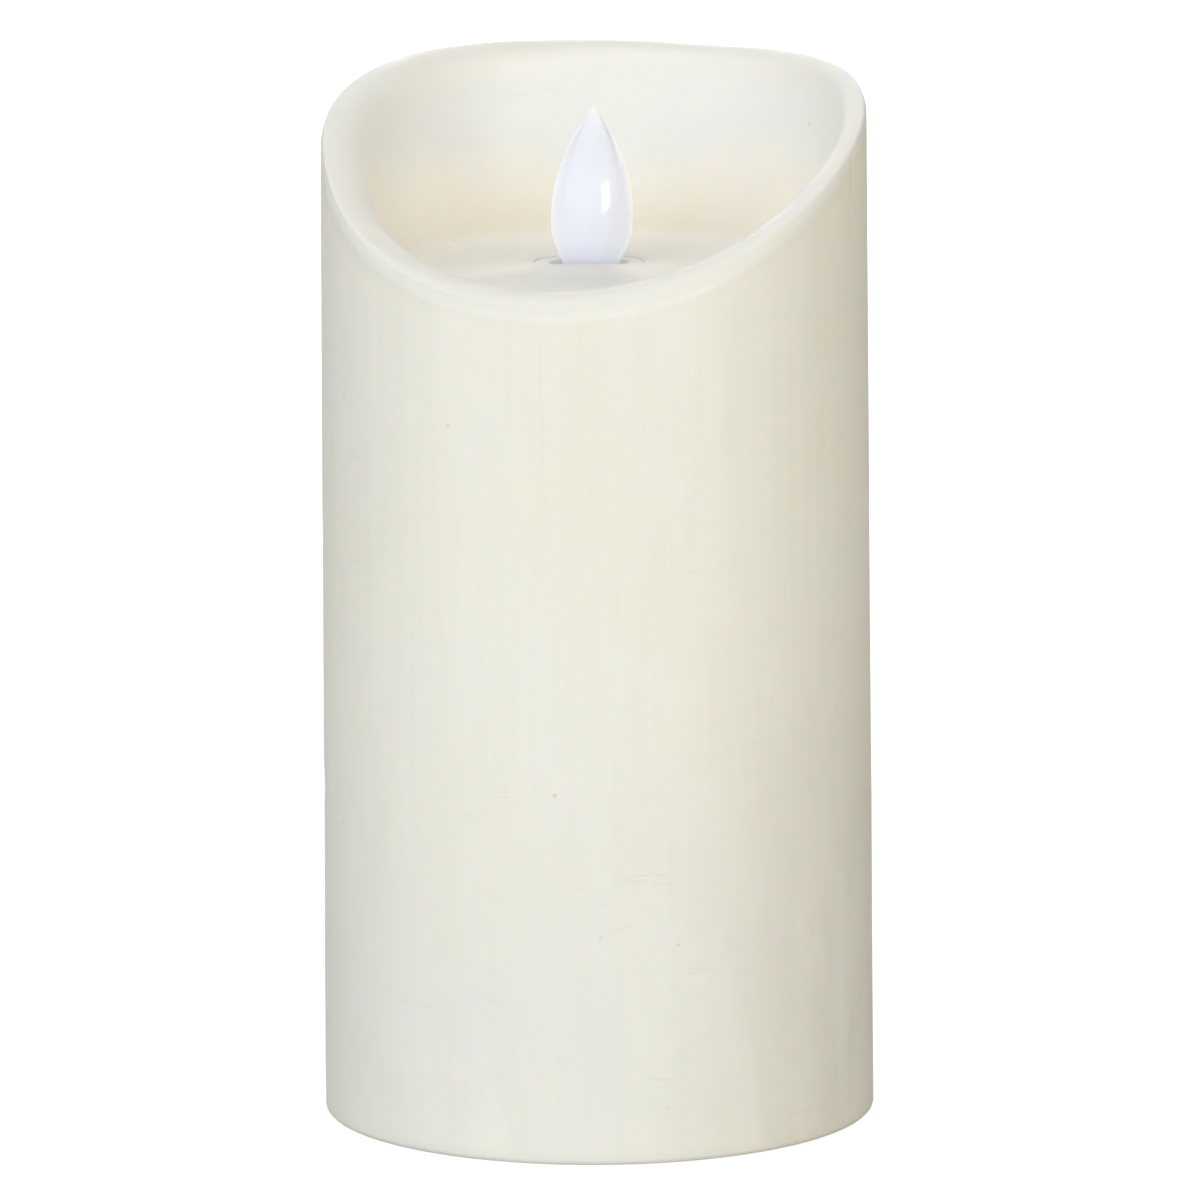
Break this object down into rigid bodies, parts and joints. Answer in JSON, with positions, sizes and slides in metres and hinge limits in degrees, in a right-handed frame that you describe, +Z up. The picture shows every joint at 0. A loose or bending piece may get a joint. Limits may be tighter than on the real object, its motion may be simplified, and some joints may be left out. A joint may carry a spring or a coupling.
{
  "type": "flameless led candle",
  "caption": "Ivory wax pillar candle with a scooped top, a low front rim and a swinging plastic teardrop flame, with a battery base and hinged door underneath.",
  "frame": {"origin": "centre of the wax base on the table", "axes": "+Z up along the pillar, -Y to the front where the rim is lowest, +X to the right seen from the front"},
  "size_m": [0.08, 0.08, 0.1516],
  "materials": {
    "wax": "ivory paraffin wax, satin, slightly translucent, with fine vertical streaks",
    "flame": "glossy translucent bluish-white moulded plastic",
    "clear_plastic": "frosted clear moulded plastic",
    "magnet": "bright nickel plate",
    "steel_wire": "drawn steel wire",
    "collar_plastic": "satin off-white moulded plastic",
    "housing_plastic": "fine-textured light grey moulded plastic",
    "screw_steel": "zinc-plated steel",
    "black_plastic": "black moulded plastic",
    "copper": "enamelled copper wire",
    "led_epoxy": "clear epoxy over yellow phosphor",
    "tinned_leads": "tinned",
    "board": "green solder resist",
    "chip": "moulded epoxy",
    "capacitor_sleeve": "shrink sleeve",
    "base_plastic": "fine-textured ivory moulded plastic",
    "cell_can": "printed sleeve over nickel-plated can",
    "contact_steel": "nickel-plated spring steel",
    "switch_metal": "stamped tin plate",
    "knob_plastic": "black moulded plastic",
    "red_pvc": "red wire insulation",
    "black_pvc": "black wire insulation"
  },
  "bodies": {
    "root": {"wax_pillar": "wax", "flame_collar": "collar_plastic", "housing_front": "housing_plastic", "housing_rear": "housing_plastic", "housing_screws": "screw_steel", "coil_bobbin": "black_plastic", "coil_winding": "copper", "led_lamp": "led_epoxy", "led_leads": "tinned_leads", "control_board": "board", "driver_chip": "chip", "board_capacitor": "capacitor_sleeve", "board_resistors": "chip", "base_tray": "base_plastic", "base_cover": "base_plastic", "cover_screws": "screw_steel", "front_cell": "cell_can", "rear_cell": "cell_can", "bridge_contact": "contact_steel", "bridge_spring": "contact_steel", "positive_contact": "contact_steel", "negative_contact": "contact_steel", "negative_spring": "contact_steel", "switch_case": "switch_metal", "switch_terminals": "tinned_leads", "switch_screws": "screw_steel", "red_wire": "red_pvc", "black_wire": "black_pvc", "switch_wire": "red_pvc"},
    "wire": {"pivot_wire": "steel_wire"},
    "flame": {"flame_shell": "flame", "flame_carrier": "clear_plastic", "pendulum_magnet": "magnet"},
    "door": {"battery_door": "base_plastic"},
    "knob": {"switch_knob": "knob_plastic"}
  },
  "joints": [
    {"name": "flame_swing", "type": "hinge", "parent": "root", "child": "wire", "pos_m": [-0.0008, 0, 0.1154], "axis": [1, 0, 0], "range_deg": [-6, 6]},
    {"name": "flame_rock", "type": "hinge", "parent": "wire", "child": "flame", "pos_m": [-0.0008, 0, 0.1154], "axis": [0, 1, 0], "range_deg": [-5.8, 2.2]},
    {"name": "door_hinge", "type": "hinge", "parent": "root", "child": "door", "pos_m": [0, -0.0202, 0.00255], "axis": [-1, 0, 0], "range_deg": [0, 100]},
    {"name": "switch_slide", "type": "slide", "parent": "root", "child": "knob", "axis": [1, 0, 0], "range_m": [-0.0025, 0.0025]}
  ]
}
